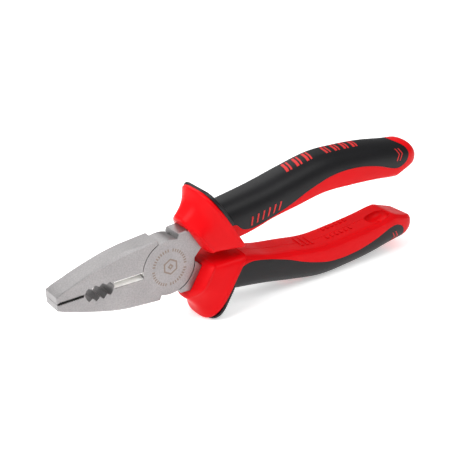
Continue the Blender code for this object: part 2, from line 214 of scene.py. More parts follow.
class PliersColours(bpy.types.PropertyGroup):
    """Colours of the finishes."""

    steel: FloatVectorProperty(
        name="Steel", description="Satin steel", default=(0.325, 0.313, 0.312), subtype="COLOR"
    )
    mark: FloatVectorProperty(
        name="Etched Mark", description="Etched ring", default=(0.20, 0.14, 0.10), subtype="COLOR"
    )
    red: FloatVectorProperty(
        name="Core Red", description="Hard grip plastic", default=(0.70, 0.003, 0.006), subtype="COLOR"
    )
    black: FloatVectorProperty(
        name="Sleeve Black", description="Soft grip", default=(0.005, 0.005, 0.006), subtype="COLOR"
    )
    inlay: FloatVectorProperty(
        name="Inlay Red", description="Inlaid bars", default=(0.62, 0.03, 0.03), subtype="COLOR"
    )
    floor: FloatVectorProperty(
        name="Floor", description="Pale floor", default=(0.9, 0.9, 0.9), subtype="COLOR"
    )


def sizes():
    """Sizes set in the sidebar."""
    return bpy.context.scene.pliers_sizes


def colours():
    """Colours set in the sidebar."""
    return bpy.context.scene.pliers_colours


# Curves and sections


def slopes(places, values):
    """Slope at each row of a table with uneven steps."""
    found = []
    last = len(places) - 1
    for k in range(last + 1):
        if k in (0, last):
            j = max(k, 1)
            found.append((values[j] - values[j - 1]) / (places[j] - places[j - 1]))
            continue
        before = places[k] - places[k - 1]
        after = places[k + 1] - places[k]
        low = (values[k] - values[k - 1]) / before
        high = (values[k + 1] - values[k]) / after
        found.append((low * after + high * before) / (before + after))
    return found


def smooth(at, rows, column):
    """Hermite curve through one column of a table whose first column is the place."""
    places = [row[0] for row in rows]
    values = [row[column] for row in rows]
    steep = slopes(places, values)
    k = 0
    while k < len(places) - 2 and at > places[k + 1]:
        k += 1
    span = places[k + 1] - places[k]
    t = (at - places[k]) / span
    start = values[k] * (2 * t**3 - 3 * t**2 + 1) + steep[k] * span * (t**3 - 2 * t**2 + t)
    end = values[k + 1] * (3 * t**2 - 2 * t**3) + steep[k + 1] * span * (t**3 - t**2)
    return start + end


def world(a, b, w, side):
    """World point of tool coordinates; side -1 rolls the lever half a turn over."""
    tilt = sizes().tilt
    b = side * b
    x = a * math.cos(tilt) + b * math.sin(tilt)
    z = b * math.cos(tilt) - a * math.sin(tilt)
    return Vector((PIVOT.x + x, PIVOT.y - side * w, PIVOT.z + z))


def grip_outline(share, inset, steps, seam):
    """Half section of a grip from the middle of the inner face to the outer side."""
    s = sizes()
    low = smooth(share, HANDLE, 1) * s.spread + inset
    high = smooth(share, HANDLE, 2) * s.spread - inset
    half = smooth(share, HANDLE, 3) * s.grip / 2 - inset
    middle = low + (high - low) * 0.42
    face = half * 0.82
    chamfer = half * 0.16
    outline = [(low + seam, 0.0), (low, 0.00018), (low, face * 0.35), (low, face * 0.7)]
    outline += [(low, face * 0.93), (low + chamfer * 0.10, face)]
    outline += [(low + chamfer * 0.95, half * 0.95), (low + chamfer * 1.15, half * 0.965)]
    outline += [(low + (middle - low) * 0.6, half * 0.992)]
    for k in range(steps + 1):
        turn = math.pi / 2 * (1 - k / steps)
        rise = math.cos(turn) ** 0.85 if k else 0.0
        outline.append((middle + (high - middle) * rise, half * math.sin(turn) ** 0.85))
    return low, high, outline


def grip_ring(share, inset, side, steps=14, seam=0.0):
    """Whole section of a grip as world points."""
    lean = smooth(share, HANDLE, 4) * sizes().reach
    low, high, half = grip_outline(share, inset, steps, seam)
    ring = half + [(b, -w) for b, w in half[-2:0:-1]]
    place = share * sizes().reach
    return [world(place - lean * (b - low) / (high - low), b, w, side) for b, w in ring]


def skin_point(share, turn, lift, side):
    """Point on the rounded outer side of a grip: turn 0 on the ridge, 90 degrees on the flank."""
    s = sizes()
    low = smooth(share, HANDLE, 1) * s.spread
    high = smooth(share, HANDLE, 2) * s.spread + lift
    half = smooth(share, HANDLE, 3) * s.grip / 2 + lift
    middle = low + (high - low) * 0.42
    if abs(turn) < math.pi / 2:
        across = math.copysign(abs(math.sin(turn)) ** 0.85, turn) * half
        b = middle + (high - middle) * math.cos(turn) ** 0.85
    else:
        across = math.copysign(half, turn)
        b = middle - (middle - low) * (abs(turn) - math.pi / 2) * 0.95
    lean = smooth(share, HANDLE, 4) * s.reach
    a = share * s.reach - lean * (b - low) / (high - low)
    return world(a, min(b, flat_line(a) - FLOOR_SPARE - 0.00003), across, side)


def flat_line(a):
    """Height across the tool where the grip is flattened on its outer side by the floor."""
    return PIVOT.z / math.cos(sizes().tilt) - a * math.tan(sizes().tilt)


def guard_ring(along, low, high, flank, ear, side, inset=0.0):
    """Section of the leaning guard: nearly flat below, round at the top."""
    s = sizes()
    low = low + inset
    high = high - inset
    flank = min(flank, 1.0) * s.guard / 2 - inset
    ear = min(ear, 1.0) * s.guard / 2 - inset
    middle = low + (high - low) * 0.45
    ring = []
    for k in range(72):
        turn = 2 * math.pi * k / 72
        c = math.cos(turn)
        t = math.sin(turn)
        power = 2 / 2.9 if c > 0 else 2 / 9.0
        arm = high - middle if c > 0 else middle - low
        across = middle + arm * math.copysign(abs(c) ** power, c)
        rise = min(max(c, 0.0) / 0.85, 1.0)
        half = flank + (ear - flank) * rise * rise * (3 - 2 * rise)
        a = along * math.cos(GUARD_LEAN) - across * math.sin(GUARD_LEAN)
        b = along * math.sin(GUARD_LEAN) + across * math.cos(GUARD_LEAN)
        ring.append(world(a, b, half * math.copysign(abs(t) ** power, t), side))
    return ring


def sleeve_zone(grow, front):
    """Outline in a and b of what the soft sleeve covers."""
    s = sizes()
    top = s.spread * 1.6
    rows = [(s.reach * a, s.spread * b) for a, b in SLEEVE_EDGE]
    places = [k / (len(rows) - 1) for k in range(len(rows))]
    table = [(t, a, b) for t, (a, b) in zip(places, rows)]
    edge = []
    for k in range(81):
        at = k / 80
        before = max(at - 0.004, 0.0)
        after = min(at + 0.004, 1.0)
        run = smooth(after, table, 1) - smooth(before, table, 1)
        rise = smooth(after, table, 2) - smooth(before, table, 2)
        size = math.hypot(run, rise)
        a = smooth(at, table, 1) + grow * rise / size
        edge.append((a, smooth(at, table, 2) - grow * run / size))
    reach = front / math.cos(GUARD_LEAN)
    start = (reach - edge[0][1] * math.tan(GUARD_LEAN), edge[0][1])
    above = (reach - top * math.tan(GUARD_LEAN), top)
    kept = [spot for spot in edge[1:] if spot[0] > start[0] + 0.0002]
    return [above, start] + kept + [(edge[-1][0], top)]


# Outlines of the steel


def jaw_edge(a, side):
    """Height of the gripping edge above the closing line; the fine teeth of the two jaws mesh."""
    s = sizes()
    share = -a / s.jaw_length
    if COARSE_FROM < share < COARSE_FROM + COARSE_SPAN:
        t = (share - COARSE_FROM) / COARSE_SPAN
        bowl = (0.275 + 0.045 * side) * s.knee * math.sin(math.pi * t) ** 0.25
        tooth = abs((t * s.coarse) % 1.0 - 0.5) * 2
        return -bowl * (1.0 - 0.40 * tooth)
    if FINE_FROM < share < FINE_FROM + FINE_SPAN:
        t = (share - FINE_FROM) / FINE_SPAN * s.fine
        return -0.0002 - abs((t + side * 0.25) % 1.0 - 0.5) * s.jaw_length * 0.0230
    return 0.0


def arc(start, end, steps):
    """Points on the edge of the boss between two angles in degrees."""
    turns = [math.radians(start + (end - start) * k / steps) for k in range(steps + 1)]
    radius = sizes().boss
    return [(radius * math.cos(t), radius * math.sin(t)) for t in turns]


def head_outline(side, gap):
    """Jaw, boss and shank along the pivot, each point with the width of its edge bevel."""
    s = sizes()
    fine = [0.985 - FINE_SPAN * k / (4 * s.fine) for k in range(4 * s.fine + 1)]
    coarse = [0.765 - COARSE_SPAN * k / (4 * s.coarse) for k in range(4 * s.coarse + 1)]
    spots = []
    for share in [1.0] + fine + coarse:
        height = jaw_edge(-share * s.jaw_length, side)
        bevel = 0.00002 if share > 0.7665 else 0.00005
        spots.append((-share * s.jaw_length, height - gap / 2, bevel))
    spots.append((-math.sqrt(s.boss**2 - gap**2 / 4), -gap / 2, 0.00005))
    spots += [(a, b, 0.00012) for a, b in arc(179.0, 70.0, 44)]
    out = s.boss * 1.18
    shank = math.radians(70.0)
    rear = math.radians(110.6)
    spots.append((out * math.cos(shank), out * math.sin(shank), 0.00045))
    for share in (0.1026, 0.113, 0.125):
        spots.append((s.reach * share, smooth(share, TANG, 2) * s.spread, 0.00045))
    for share in (0.125, 0.113, 0.1026):
        spots.append((s.reach * share, smooth(share, TANG, 1) * s.spread, 0.00025))
    spots += [(a, b, 0.00012) for a, b in arc(3.0, -110.6, 46)]
    spots.append((out * math.cos(rear), -out * math.sin(rear), 0.00030))
    side_spots = []
    for k in range(41):
        share = -0.245 - 0.755 * k / 40
        away = s.tip + (s.knee - s.tip) * smooth(share, JAW_SIDE, 1)
        side_spots.append((share * s.jaw_length, -away, smooth(share, JAW_SIDE, 2)))
    return spots + side_spots


def inset_outline(spots):
    """Outline moved inwards by the bevel width of each point."""
    count = len(spots)
    moved = []
    for k in range(count):
        a0, b0, _ = spots[k - 1]
        a1, b1, bevel = spots[k]
        a2, b2, _ = spots[(k + 1) % count]
        before = Vector((a1 - a0, b1 - b0)).normalized()
        after = Vector((a2 - a1, b2 - b1)).normalized()
        normal = Vector((before.y, -before.x)) + Vector((after.y, -after.x))
        normal.normalize()
        spread = max(normal.dot(Vector((before.y, -before.x))), 0.35)
        moved.append((a1 + normal.x * bevel / spread, b1 + normal.y * bevel / spread))
    return moved


# Modelling


def clear_selection():
    """Leaves nothing selected, so an operator works only on what it is meant for."""
    if bpy.context.object and bpy.context.object.mode != "OBJECT":
        bpy.ops.object.mode_set(mode="OBJECT")
    bpy.ops.object.select_all(action="DESELECT")


def sweep(name, rings):
    """Extrudes a circle ring by ring, each time moving the new ring to its section."""
    clear_selection()
    count = len(rings[0])
    bpy.ops.mesh.primitive_circle_add(vertices=count, radius=0.01, fill_type="NGON")
    piece = bpy.context.object
    piece.name = name
    bpy.ops.object.mode_set(mode="EDIT")
    work = bmesh.from_edit_mesh(piece.data)
    work.verts.ensure_lookup_table()
    for spot, vert in zip(rings[0], work.verts):
        vert.co = spot
    bmesh.update_edit_mesh(piece.data)
    last = rings[0]
    for ring in rings[1:]:
        bpy.ops.mesh.extrude_region_move()
        work = bmesh.from_edit_mesh(piece.data)
        chosen = {tuple(round(c * 1e7) for c in v.co): v for v in work.verts if v.select}
        keys = [tuple(round(c * 1e7) for c in spot) for spot in last]
        for key, spot in zip(keys, ring):
            chosen[key].co = spot
        bmesh.update_edit_mesh(piece.data)
        last = ring
    bpy.ops.mesh.select_all(action="SELECT")
    bpy.ops.mesh.normals_make_consistent(inside=False)
    bpy.ops.object.mode_set(mode="OBJECT")
    piece.select_set(False)
    return piece


def slab(name, outline, w_from, w_to, side):
    """Flat outline given a thickness along w."""
    rings = [[world(a, b, w, side) for a, b in outline] for w in (w_from, w_to)]
    return sweep(name, rings)


def pin(name, radius, w_from, w_to, side, sides=160):
    """Round bar on the pivot axis."""
    clear_selection()
    depth = w_to - w_from
    middle = world(0.0, 0.0, (w_from + w_to) / 2, side)
    bpy.ops.mesh.primitive_cylinder_add(
        vertices=sides, radius=radius, depth=depth, location=middle, rotation=(math.pi / 2, 0, 0)
    )
    piece = bpy.context.object
    piece.name = name
    bpy.ops.object.transform_apply(location=True, rotation=True, scale=True)
    piece.select_set(False)
    return piece


def combine(piece, tool, operation):
    """Cuts or joins another object into the piece and removes that object."""
    clear_selection()
    bpy.context.view_layer.objects.active = piece
    piece.select_set(True)
    step = piece.modifiers.new(operation.title(), "BOOLEAN")
    step.operation = operation
    step.solver = "EXACT"
    step.object = tool
    bpy.ops.object.modifier_apply(modifier=step.name)
    bpy.data.objects.remove(tool, do_unlink=True)
    piece.select_set(False)


def shade(piece, degrees):
    """Smooth shading with hard edges kept above an angle."""
    clear_selection()
    bpy.context.view_layer.objects.active = piece
    piece.select_set(True)
    bpy.ops.object.shade_smooth_by_angle(angle=math.radians(degrees))
    piece.select_set(False)


def tang(name, side, grow):
    """Steel bar inside the grip, or with grow the hollow around it."""
    s = sizes()
    first = 0.1026 if grow == 0 else 0.0123
    half_head = s.head / 2
    rings = []
    for k in range(31):
        share = first + (TANG[-1][0] - first) * k / 30
        at = max(share, TANG[0][0])
        inset = half_head * 0.1 if grow == 0 else -grow
        low = smooth(at, TANG, 1) * s.spread + inset
        high = smooth(at, TANG, 2) * s.spread - inset
        half = smooth(at, TANG, 3) * half_head - inset
        cut = half_head * (0.16 if grow == 0 else 0.03)
        corners = [(low, half - cut), (low + cut, half), (high - cut, half), (high, half - cut)]
        corners += [(high, cut - half), (high - cut, -half), (low + cut, -half), (low, cut - half)]
        rings.append([world(share * s.reach, b, w, side) for b, w in corners])
    return sweep(name, rings)


def lever(name, side):
    """Jaw, half boss and shank with bevelled edges, and the bar inside the grip."""
    s = sizes()
    half = s.head / 2
    gap = 0.00004
    spots = head_outline(side, 0.00016)
    full = [(a, b) for a, b, _ in spots]
    drawn = inset_outline(spots)
    depth = [bevel * 0.8 for _, _, bevel in spots]
    rings = []
    for outline, sign, cut in ((drawn, -1, False), (full, -1, True), (full, 1, True), (drawn, 1, False)):
        ring = []
        for (a, b), fall in zip(outline, depth):
            w = sign * (half - (fall if cut else 0.0))
            ring.append(world(a, b, w, side))
        rings.append(ring)
    piece = sweep(name, rings)
    combine(piece, tang(name + "_bar", side, 0.0), "UNION")
    lap = pin(name + "_lap", s.boss + 0.0003, -s.head, gap / 2, side)
    combine(piece, lap, "DIFFERENCE")
    for turn in (1, -1):
        fall = s.jaw_length * 0.0275
        section = ((0.0002, 0.0), (-fall * 1.3, half * 1.3), (fall * 2.0, half * 1.3), (fall * 2.0, 0.0))
        rings = []
        for place in RELIEF:
            a = place * s.jaw_length
            rings.append([world(a, up - 0.0001, turn * w, side) for up, w in section])
        combine(piece, sweep(name + "_relief", rings), "DIFFERENCE")
    bore = pin(name + "_bore", s.rivet + 0.00001, -s.head, s.head, side)
    combine(piece, bore, "DIFFERENCE")
    shade(piece, 28)
    return piece


def skin(name, side, inset, seam):
    """Whole grip body from inside the guard to the rounded end."""
    first = HANDLE[0][0]
    bend = HANDLE[8][0]
    shares = [first + (bend - first) * k / 66 for k in range(66)]
    for row, after in zip(HANDLE[8:], HANDLE[9:]):
        shares += [row[0] + (after[0] - row[0]) * k / 3 for k in range(3)]
    shares.append(HANDLE[-1][0])
    return sweep(name, [grip_ring(share, inset, side, 14, seam) for share in shares])


def neck(name, side, inset, last):
    """Grip body taken in by the wall of the sleeve."""
    first = HANDLE[0][0]
    shares = [first + (last - first) * k / 40 for k in range(41)]
    return sweep(name, [grip_ring(share, inset, side, 8) for share in shares])


def guard_body(name, side):
    """Flared finger guard."""
    rings = []
    for row, after in zip(GUARD, GUARD[1:]):
        parts = 4 if row[0] > 0.0156 else 1
        for k in range(parts):
            along = row[0] + (after[0] - row[0]) * k / parts
            rings.append(guard_ring(along, *[smooth(along, GUARD, c) for c in (1, 2, 3, 4)], side))
    last = GUARD[-1]
    rings.append(guard_ring(last[0] - 0.00025, *last[1:], side))
    rings.append(guard_ring(*last, side, 0.00022))
    return sweep(name, rings)


def floor_cut(piece, side):
    """Flattens the outer side of a grip where the floor would touch it, on both levers alike."""
    far = 0.4
    wide = sizes().guard
    outline = [(-far, flat_line(-far) - FLOOR_SPARE), (far, flat_line(far) - FLOOR_SPARE)]
    outline += [(far, far), (-far, far)]
    combine(piece, slab(piece.name + "_limit", outline, -wide, wide, side), "DIFFERENCE")


def core(name, side):
    """Hard red core: guard, inner face, end rim and the neck under the sleeve."""
    s = sizes()
    piece = skin(name, side, 0.0, 0.0001)
    zone = sleeve_zone(0.0, GUARD[-1][0] - 0.0005)
    combine(piece, slab(name + "_zone", zone, -s.guard, s.guard, side), "DIFFERENCE")
    combine(piece, neck(name + "_neck", side, s.wall + 0.00005, 0.956), "UNION")
    combine(piece, guard_body(name + "_guard", side), "UNION")
    combine(piece, tang(name + "_hollow", side, 0.00012), "DIFFERENCE")
    combine(piece, scoop(name + "_scoop", side), "DIFFERENCE")
    combine(piece, nub(name + "_nub", side), "UNION")
    floor_cut(piece, side)
    shade(piece, 26)
    return piece


def scoop(name, side):
    """Dish near the end of the inner face."""
    s = sizes()
    clear_selection()
    bpy.ops.mesh.primitive_uv_sphere_add(segments=64, ring_count=32, radius=1.0)
    piece = bpy.context.object
    piece.name = name
    for vert in piece.data.vertices:
        x, y, z = vert.co
        share = 0.853 + 0.046 * math.copysign(abs(x) ** 0.8, x)
        low = smooth(share, HANDLE, 1) * s.spread
        across = (0.235 * math.copysign(abs(y) ** 0.8, y) - 0.16) * s.grip
        vert.co = world(share * s.reach, low + 0.0036 * z - 0.0006, across, side)
    outward(piece)
    return piece


def nub(name, side):
    """Small moulding gate mark in the dish."""
    s = sizes()
    clear_selection()
    bpy.ops.mesh.primitive_uv_sphere_add(segments=24, ring_count=12, radius=1.0)
    piece = bpy.context.object
    piece.name = name
    share = 0.862
    low = smooth(share, HANDLE, 1) * s.spread
    for vert in piece.data.vertices:
        x, y, z = vert.co
        a = share * s.reach + 0.0007 * x
        vert.co = world(a, low + 0.0030 + 0.0006 * z, 0.0007 * y - 0.16 * s.grip, side)
    outward(piece)
    return piece


def outward(piece):
    """Merges doubled points and turns every face outwards."""
    clear_selection()
    bpy.context.view_layer.objects.active = piece
    bpy.ops.object.mode_set(mode="EDIT")
    bpy.ops.mesh.select_all(action="SELECT")
    bpy.ops.mesh.remove_doubles(threshold=1e-7)
    bpy.ops.mesh.normals_make_consistent(inside=False)
    bpy.ops.object.mode_set(mode="OBJECT")


def sleeve(name, side):
    """Soft black sleeve with a lip up the back of the guard."""
    s = sizes()
    piece = skin(name, side, 0.0, 0.0)
    back = GUARD[-1][0] + 0.00008
    zone = sleeve_zone(-0.00006, back + 0.0005)
    combine(piece, slab(name + "_zone", zone, -s.guard, s.guard, side), "INTERSECT")
    last = GUARD[-1]
    bottom = SLEEVE_EDGE[0][1] * s.spread + 0.0010 - back * math.sin(GUARD_LEAN)
    bottom /= math.cos(GUARD_LEAN)
    lip = []
    for step, inset in ((0.0, 0.0004), (0.0004, 0.00025), (0.0011, 0.0003), (0.0014, 0.0008)):
        lip.append(guard_ring(back + step, bottom, last[2], last[3], last[4], side, inset))
    combine(piece, sweep(name + "_lip", lip), "UNION")
    combine(piece, neck(name + "_inside", side, s.wall, 0.966), "DIFFERENCE")
    floor_cut(piece, side)
    shade(piece, 32)
    return piece


def patch(name, corners, place_at, depth, columns=3, rows=10):
    """Four-sided patch laid on a curved surface and given a thickness.

    corners run round the patch in the surface's own two coordinates.
    """
    clear_selection()
    bpy.ops.mesh.primitive_grid_add(x_subdivisions=columns, y_subdivisions=rows, size=2.0)
    piece = bpy.context.object
    piece.name = name
    (p0, q0), (p1, q1), (p2, q2), (p3, q3) = corners
    for vert in piece.data.vertices:
        x = (vert.co.x + 1) / 2
        y = (vert.co.y + 1) / 2
        p = (p0 * (1 - x) + p1 * x) * (1 - y) + (p3 * (1 - x) + p2 * x) * y
        q = (q0 * (1 - x) + q1 * x) * (1 - y) + (q3 * (1 - x) + q2 * x) * y
        vert.co = place_at(p, q)
    step = piece.modifiers.new("Thickness", "SOLIDIFY")
    step.thickness = depth
    step.offset = 0.0
    clear_selection()
    bpy.context.view_layer.objects.active = piece
    piece.select_set(True)
    bpy.ops.object.modifier_apply(modifier=step.name)
    outward(piece)
    return piece


def join(name, pieces):
    """Joins separate patches into one object."""
    clear_selection()
    for piece in pieces:
        piece.select_set(True)
    bpy.context.view_layer.objects.active = pieces[0]
    bpy.ops.object.join()
    pieces[0].name = name
    pieces[0].select_set(False)
    return pieces[0]


def inlaid_bars(name, side):
    """Slanted red bars let into the sleeve: a long row, a short row and an end chevron."""
    def on_skin(share, turn):
        return skin_point(share, math.radians(turn), 0.00003, side)

    pieces = []
    for k in (0, 1, 2, 4, 5, 6, 7):
        start = 0.455 + 0.0385 * k
        for shift, wide in ((0.0, 0.0095), (0.0155, 0.006)):
            low = start + shift
            corners = ((low, 20), (low + wide, 20), (low + wide + 0.013, -15), (low + 0.013, -15))
            pieces.append(patch(name, corners, on_skin, 0.0001))
    for k in range(6):
        start = 0.290 + 0.0195 * k
        corners = ((start, 118), (start + 0.005, 118), (start + 0.017, 88), (start + 0.012, 88))
        pieces.append(patch(name, corners, on_skin, 0.0001, 2, 6))
    for turned in (1, -1):
        for near in (0.898, 0.911):
            thin = 0.0036
            bend = near + thin
            corners = ((near - 0.012, 47), (bend - 0.012, 47), (bend, 66), (near, 66))
            pieces.append(patch(name, [(p, q * turned) for p, q in corners], on_skin, 0.0001, 2, 6))
            corners = ((near, 66), (bend, 66), (bend - 0.012, 84), (near - 0.012, 84))
            pieces.append(patch(name, [(p, q * turned) for p, q in corners], on_skin, 0.0001, 2, 6))
    return join(name, pieces)


def raised_bars(name, side):
    """Raised grip bars on the flat inner face, in two rows with a diamond in front."""
    def on_face(share, w):
        s = sizes()
        low = smooth(share, HANDLE, 1) * s.spread
        return world(share * s.reach, low - 0.00002, w * MM, side)

    pieces = []
    for k in range(6):
        start = 0.655 + 0.0195 * k
        corners = ((start, 4.2), (start + 0.009, 4.2), (start + 0.011, 6.6), (start + 0.002, 6.6))
        pieces.append(patch(name, corners, on_face, 0.0006, 1, 1))
        start = 0.628 + 0.0205 * k
        corners = ((start, -3.2), (start + 0.009, -3.2), (start + 0.011, -0.9), (start + 0.002, -0.9))
        pieces.append(patch(name, corners, on_face, 0.0006, 1, 1))
    for k in range(3):
        start = 0.515 + 0.022 * k
        corners = ((start, -3.4), (start + 0.011, -3.4), (start + 0.019, 4.4), (start + 0.008, 4.4))
        pieces.append(patch(name, corners, on_face, 0.0006, 1, 2))
    return join(name, pieces)


# Finishes


def group(name, inputs, outputs):
    """Node group with named sockets."""
    made = bpy.data.node_groups.new(name, "ShaderNodeTree")
    for label, kind, value in inputs:
        socket = made.interface.new_socket(name=label, in_out="INPUT", socket_type=kind)
        if value is not None:
            socket.default_value = value
    for label, kind in outputs:
        made.interface.new_socket(name=label, in_out="OUTPUT", socket_type=kind)
    source = made.nodes.new("NodeGroupInput")
    sink = made.nodes.new("NodeGroupOutput")
    return made, source, sink


def math_node(tree, operation, first, second=None):
    """Math node fed by sockets or numbers; returns its output."""
    node = tree.nodes.new("ShaderNodeMath")
    node.operation = operation
    for place, value in enumerate((first, second)):
        if value is None:
            continue
        if isinstance(value, (int, float)):
            node.inputs[place].default_value = value
        else:
            tree.links.new(value, node.inputs[place])
    return node.outputs[0]


def grain_group():
    """Fine moulded or blasted grain: a normal, and a mottling mask of larger patches."""
    found = bpy.data.node_groups.get("surface grain")
    if found:
        return found
    tree, source, sink = group(
        "surface grain",
        (
            ("Vector", "NodeSocketVector", None),
            ("Grain Scale", "NodeSocketFloat", 3000.0),
            ("Patch Scale", "NodeSocketFloat", 120.0),
            ("Strength", "NodeSocketFloat", 0.2),
            ("Depth", "NodeSocketFloat", 0.00005),
        ),
        (("Normal", "NodeSocketVector"), ("Grain", "NodeSocketFloat"), ("Patch", "NodeSocketFloat")),
    )
    grain = tree.nodes.new("ShaderNodeTexNoise")
    grain.inputs["Detail"].default_value = 4.0
    patch = tree.nodes.new("ShaderNodeTexNoise")
    patch.inputs["Detail"].default_value = 3.0
    bump = tree.nodes.new("ShaderNodeBump")
    link = tree.links.new
    link(source.outputs["Vector"], grain.inputs["Vector"])
    link(source.outputs["Vector"], patch.inputs["Vector"])
    link(source.outputs["Grain Scale"], grain.inputs["Scale"])
    link(source.outputs["Patch Scale"], patch.inputs["Scale"])
    link(source.outputs["Strength"], bump.inputs["Strength"])
    link(source.outputs["Depth"], bump.inputs["Distance"])
    link(grain.outputs["Fac"], bump.inputs["Height"])
    link(bump.outputs["Normal"], sink.inputs["Normal"])
    link(grain.outputs["Fac"], sink.inputs["Grain"])
    link(patch.outputs["Fac"], sink.inputs["Patch"])
    return tree


def ring_mark_group():
    """Etched ring of short dashes around a six-sided emblem, on the near face of the boss only."""
    found = bpy.data.node_groups.get("etched ring")
    if found:
        return found
    tree, source, sink = group(
        "etched ring",
        (("Vector", "NodeSocketVector", None), ("Face", "NodeSocketFloat", -0.0043)),
        (("Mask", "NodeSocketFloat"),),
    )
    link = tree.links.new
    split = tree.nodes.new("ShaderNodeSeparateXYZ")
    link(source.outputs["Vector"], split.inputs[0])
    x = math_node(tree, "MULTIPLY", split.outputs["X"], 1000.0)
    z = math_node(tree, "MULTIPLY", split.outputs["Z"], 1000.0)
    near = math_node(tree, "LESS_THAN", split.outputs["Y"], source.outputs["Face"])
    radius = math_node(tree, "SQRT", math_node(tree, "ADD", math_node(tree, "MULTIPLY", x, x),
                                               math_node(tree, "MULTIPLY", z, z)))
    angle = math_node(tree, "ARCTAN2", z, x)

    def band(value, centre, half):
        away = math_node(tree, "ABSOLUTE", math_node(tree, "SUBTRACT", value, centre))
        return math_node(tree, "LESS_THAN", away, half)

    dash = math_node(tree, "FRACT", math_node(tree, "MULTIPLY", angle, 40 / (2 * math.pi)))
    dash_on = math_node(tree, "LESS_THAN", dash, 0.5)
    words = math_node(tree, "FRACT", math_node(tree, "MULTIPLY", angle, 4 / (2 * math.pi)))
    words_on = math_node(tree, "LESS_THAN", words, 0.86)
    tall = band(radius, 7.3, 0.62)
    ring = math_node(tree, "MULTIPLY", math_node(tree, "MULTIPLY", dash_on, words_on), tall)
    turned_x = math_node(tree, "SUBTRACT", x, 0.5)
    turned_z = math_node(tree, "SUBTRACT", z, 0.2)
    wide = math_node(tree, "ABSOLUTE", turned_x)
    high = math_node(tree, "ABSOLUTE", turned_z)
    half_wide = math_node(tree, "MULTIPLY", wide, 0.5)
    slanted = math_node(tree, "ADD", half_wide, math_node(tree, "MULTIPLY", high, 0.866))
    hexagon = math_node(tree, "MAXIMUM", slanted, wide)
    outline = band(hexagon, 2.75, 0.33)
    diamond = band(math_node(tree, "ADD", wide, high), 0.9, 0.45)
    emblem = math_node(tree, "MAXIMUM", outline, diamond)
    mask = math_node(tree, "MULTIPLY", math_node(tree, "MAXIMUM", ring, emblem), near)
    link(mask, sink.inputs["Mask"])
    return tree


def painted_highlight_group():
    """Mask of the cutter bevels that get a painted highlight: the box between two places along the jaw.
    """
    found = bpy.data.node_groups.get("ground bevel")
    if found:
        return found
    tree, source, sink = group(
        "ground bevel",
        (
            ("Vector", "NodeSocketVector", None),
            ("Rear", "NodeSocketFloat", -0.012),
            ("Front", "NodeSocketFloat", -0.024),
            ("Height", "NodeSocketFloat", 0.0014),
        ),
        (("Mask", "NodeSocketFloat"),),
    )
    split = tree.nodes.new("ShaderNodeSeparateXYZ")
    tree.links.new(source.outputs["Vector"], split.inputs[0])
    behind = math_node(tree, "LESS_THAN", split.outputs["X"], source.outputs["Rear"])
    before = math_node(tree, "GREATER_THAN", split.outputs["X"], source.outputs["Front"])
    away = math_node(tree, "ABSOLUTE", split.outputs["Z"])
    near = math_node(tree, "LESS_THAN", away, source.outputs["Height"])
    mask = math_node(tree, "MULTIPLY", math_node(tree, "MULTIPLY", behind, before), near)
    tree.links.new(mask, sink.inputs["Mask"])
    return tree


def new_finish(name):
    """Empty material with its shader and object coordinates."""
    made = bpy.data.materials.new(name)
    made.use_nodes = True
    tree = made.node_tree
    shader = tree.nodes["Principled BSDF"]
    place = tree.nodes.new("ShaderNodeTexCoord")
    return made, tree, shader, place.outputs["Object"]


def place_group(tree, made, vector, values):
    """Adds a group to a material and sets its numbers."""
    node = tree.nodes.new("ShaderNodeGroup")
    node.node_tree = made
    tree.links.new(vector, node.inputs["Vector"])
    for label, value in values.items():
        node.inputs[label].default_value = value
    return node


def ramp(tree, fac, low, high, start=0.3, end=0.7):
    """Colour between two colours as a mask rises."""
    node = tree.nodes.new("ShaderNodeValToRGB")
    node.color_ramp.elements[0].position = start
    node.color_ramp.elements[1].position = end
    node.color_ramp.elements[0].color = (*low, 1.0)
    node.color_ramp.elements[1].color = (*high, 1.0)
    tree.links.new(fac, node.inputs["Fac"])
    return node.outputs["Color"]


def spread_value(tree, fac, low, high):
    """Number that runs between two values with a mask."""
    node = tree.nodes.new("ShaderNodeMapRange")
    node.inputs["From Min"].default_value = 0.3
    node.inputs["From Max"].default_value = 0.7
    node.inputs["To Min"].default_value = low
    node.inputs["To Max"].default_value = high
    tree.links.new(fac, node.inputs["Value"])
    return node.outputs["Result"]


def scaled(colour, factor):
    """Colour made lighter or darker."""
    return tuple(min(c * factor, 1.0) for c in colour)


